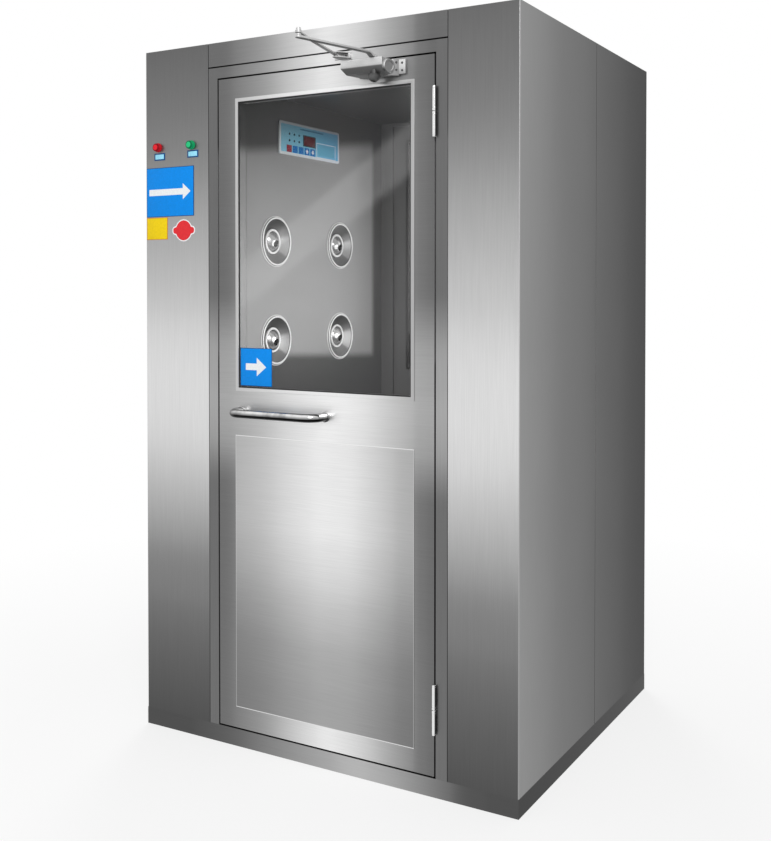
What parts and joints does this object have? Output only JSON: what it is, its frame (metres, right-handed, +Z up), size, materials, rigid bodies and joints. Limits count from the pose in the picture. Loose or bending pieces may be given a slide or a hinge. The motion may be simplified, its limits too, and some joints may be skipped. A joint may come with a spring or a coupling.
{
  "type": "cleanroom air shower",
  "caption": "Free-standing stainless walk-through air shower cabin with glazed hinged doors at both ends, overhead door closers and side wall air nozzles.",
  "frame": {"origin": "middle of the base at floor level", "axes": "+Z up, X along the entrance face, +Y from the entrance to the exit"},
  "size_m": [1.3, 1.754, 2.165],
  "materials": {
    "brushed_panel": "brushed stainless, vertical grain",
    "frame_steel": "brushed stainless frame",
    "door_steel": "brushed stainless door skin",
    "base_steel": "brushed stainless plinth",
    "floor_steel": "matt stainless tread sheet",
    "inner_sheet": "matt stainless lining",
    "trim_steel": "satin window trim",
    "window_glass": "clear tempered glass",
    "handle_chrome": "polished tube",
    "hinge_steel": "polished steel",
    "closer_alloy": "silver enamel",
    "arm_steel": "silver enamel",
    "nozzle_steel": "spun stainless",
    "nozzle_chrome": "polished ball",
    "control_face": "printed membrane",
    "red_lens": "translucent lens",
    "green_lens": "translucent lens"
  },
  "bodies": {
    "root": {"base_frame": "base_steel", "ceiling_panel": "inner_sheet", "closer_shoe_front": "arm_steel", "closer_shoe_rear": "arm_steel", "control_panel": "control_face", "corner_cover_left_front": "brushed_panel", "corner_cover_left_rear": "brushed_panel", "corner_cover_right_front": "brushed_panel", "corner_cover_right_rear": "brushed_panel", "door_stops_front": "frame_steel", "door_stops_rear": "frame_steel", "floor_plate": "floor_steel", "frame_head_front": "frame_steel", "frame_head_rear": "frame_steel", "frame_jambs_front": "frame_steel", "frame_jambs_rear": "frame_steel", "header_panel_front": "brushed_panel", "header_panel_rear": "brushed_panel", "hinge_posts_front": "hinge_steel", "hinge_posts_rear": "hinge_steel", "inner_wall_left": "inner_sheet", "inner_wall_right": "inner_sheet", "nozzle_balls": "nozzle_chrome", "nozzle_cups": "nozzle_steel", "pilot_lamps_green": "green_lens", "pilot_lamps_red": "red_lens", "return_grilles": "inner_sheet", "roof_panel": "brushed_panel"},
    "front_door": {"door_leaf_front": "door_steel", "window_glass_front": "window_glass", "window_trim_front": "trim_steel", "kick_panel_front": "door_steel", "door_handle_front": "handle_chrome", "hinge_knuckles_front": "hinge_steel", "closer_body_front": "closer_alloy"},
    "front_closer_arm": {"closer_arm_front": "arm_steel"},
    "front_closer_link": {"closer_link_front": "arm_steel"},
    "rear_door": {"door_leaf_rear": "door_steel", "window_glass_rear": "window_glass", "window_trim_rear": "trim_steel", "kick_panel_rear": "door_steel", "door_handle_rear": "handle_chrome", "hinge_knuckles_rear": "hinge_steel", "closer_body_rear": "closer_alloy"},
    "rear_closer_arm": {"closer_arm_rear": "arm_steel"},
    "rear_closer_link": {"closer_link_rear": "arm_steel"}
  },
  "joints": [
    {"name": "front_door_hinge", "type": "hinge", "parent": "root", "child": "front_door", "pos_m": [0.3995, -0.561, 0], "axis": [0, 0, 1], "range_deg": [0, 90], "stiffness_Nm_per_rad": 12},
    {"name": "front_arm_pivot", "type": "hinge", "parent": "front_door", "child": "front_closer_arm", "pos_m": [0.232, -0.6, 2.044], "axis": [0, 0, 1], "range_deg": [-139, 0]},
    {"name": "front_link_pivot", "type": "hinge", "parent": "root", "child": "front_closer_link", "pos_m": [0.098, -0.59, 2.072], "axis": [0, 0, 1], "range_deg": [0, 8]},
    {"name": "rear_door_hinge", "type": "hinge", "parent": "root", "child": "rear_door", "pos_m": [0.3995, 0.561, 0], "axis": [0, 0, -1], "range_deg": [0, 90], "stiffness_Nm_per_rad": 12},
    {"name": "rear_arm_pivot", "type": "hinge", "parent": "rear_door", "child": "rear_closer_arm", "pos_m": [0.232, 0.6, 2.044], "axis": [0, 0, -1], "range_deg": [-139, 0]},
    {"name": "rear_link_pivot", "type": "hinge", "parent": "root", "child": "rear_closer_link", "pos_m": [0.098, 0.59, 2.072], "axis": [0, 0, -1], "range_deg": [0, 8]}
  ],
  "couplings": [
    {"joint": "front_arm_pivot", "follows": "front_door_hinge", "ratio": -1.5276},
    {"joint": "front_link_pivot", "follows": "front_door_hinge", "ratio": 0.072881},
    {"joint": "rear_arm_pivot", "follows": "rear_door_hinge", "ratio": -1.5276},
    {"joint": "rear_link_pivot", "follows": "rear_door_hinge", "ratio": 0.072881}
  ]
}
